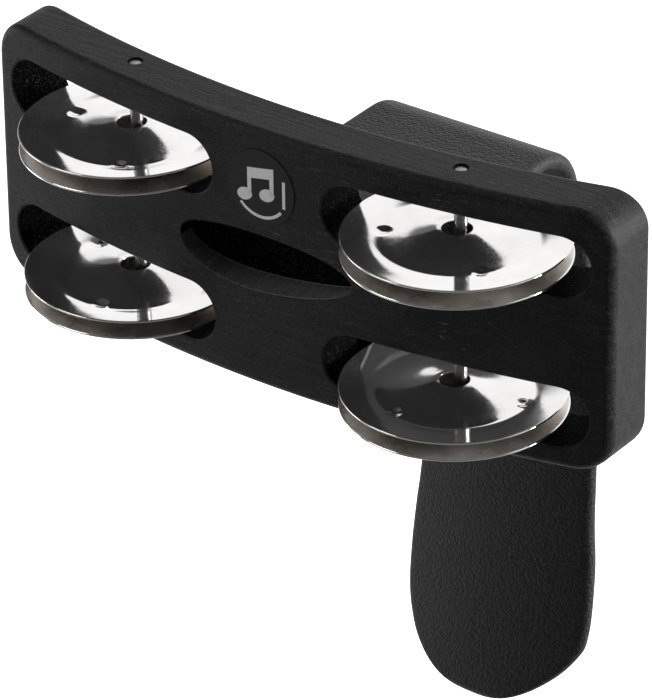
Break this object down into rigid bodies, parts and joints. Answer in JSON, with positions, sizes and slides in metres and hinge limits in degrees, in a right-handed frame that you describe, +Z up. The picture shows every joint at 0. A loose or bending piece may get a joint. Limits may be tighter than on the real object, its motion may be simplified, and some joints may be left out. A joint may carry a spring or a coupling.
{
  "type": "heel tambourine",
  "caption": "Heel tambourine: a curved black wooden jingle frame with paired steel jingles, carried on a padded steel clip that slips into the back of a shoe.",
  "frame": {"origin": "middle of the flat underside of the clip's bridge, which rests on the collar of a shoe", "axes": "+X along the wooden frame, towards the right-hand jingles seen from the front; +Y to the back, from the wooden frame towards the tongue; +Z up along the jingle pins"},
  "size_m": [0.1706, 0.1171, 0.1962],
  "materials": {
    "stained_wood": "black stained open-pored hardwood, satin",
    "jingle_steel": "polished",
    "pin_steel": "drawn, slightly dulled",
    "black_steel": "black satin paint",
    "sleeve": "fine grained matt black coating",
    "badge": "satin printed film"
  },
  "bodies": {
    "instrument": {"frame_body": "stained_wood", "pin_left": "pin_steel", "pin_right": "pin_steel", "clip_core": "black_steel", "clip_sleeve": "sleeve", "flange_screw_1": "black_steel", "flange_screw_2": "black_steel", "flange_screw_3": "black_steel", "flange_screw_4": "black_steel", "badge_disc": "badge"},
    "upper_left_bottom_jingle": {"jingle_upper_left_bottom": "jingle_steel"},
    "upper_left_top_jingle": {"jingle_upper_left_top": "jingle_steel"},
    "upper_right_bottom_jingle": {"jingle_upper_right_bottom": "jingle_steel"},
    "upper_right_top_jingle": {"jingle_upper_right_top": "jingle_steel"},
    "lower_left_bottom_jingle": {"jingle_lower_left_bottom": "jingle_steel"},
    "lower_left_top_jingle": {"jingle_lower_left_top": "jingle_steel"},
    "lower_right_bottom_jingle": {"jingle_lower_right_bottom": "jingle_steel"},
    "lower_right_top_jingle": {"jingle_lower_right_top": "jingle_steel"}
  },
  "joints": [
    {"name": "upper_left_bottom_slide", "type": "slide", "parent": "instrument", "child": "upper_left_bottom_jingle", "axis": [0, 0, 1], "range_m": [0, 0.003]},
    {"name": "upper_left_top_slide", "type": "slide", "parent": "upper_left_bottom_jingle", "child": "upper_left_top_jingle", "axis": [0, 0, 1], "range_m": [0, 0.0032]},
    {"name": "upper_right_bottom_slide", "type": "slide", "parent": "instrument", "child": "upper_right_bottom_jingle", "axis": [0, 0, 1], "range_m": [0, 0.003]},
    {"name": "upper_right_top_slide", "type": "slide", "parent": "upper_right_bottom_jingle", "child": "upper_right_top_jingle", "axis": [0, 0, 1], "range_m": [0, 0.0032]},
    {"name": "lower_left_bottom_slide", "type": "slide", "parent": "instrument", "child": "lower_left_bottom_jingle", "axis": [0, 0, 1], "range_m": [0, 0.003]},
    {"name": "lower_left_top_slide", "type": "slide", "parent": "lower_left_bottom_jingle", "child": "lower_left_top_jingle", "axis": [0, 0, 1], "range_m": [0, 0.0032]},
    {"name": "lower_right_bottom_slide", "type": "slide", "parent": "instrument", "child": "lower_right_bottom_jingle", "axis": [0, 0, 1], "range_m": [0, 0.003]},
    {"name": "lower_right_top_slide", "type": "slide", "parent": "lower_right_bottom_jingle", "child": "lower_right_top_jingle", "axis": [0, 0, 1], "range_m": [0, 0.0032]}
  ]
}
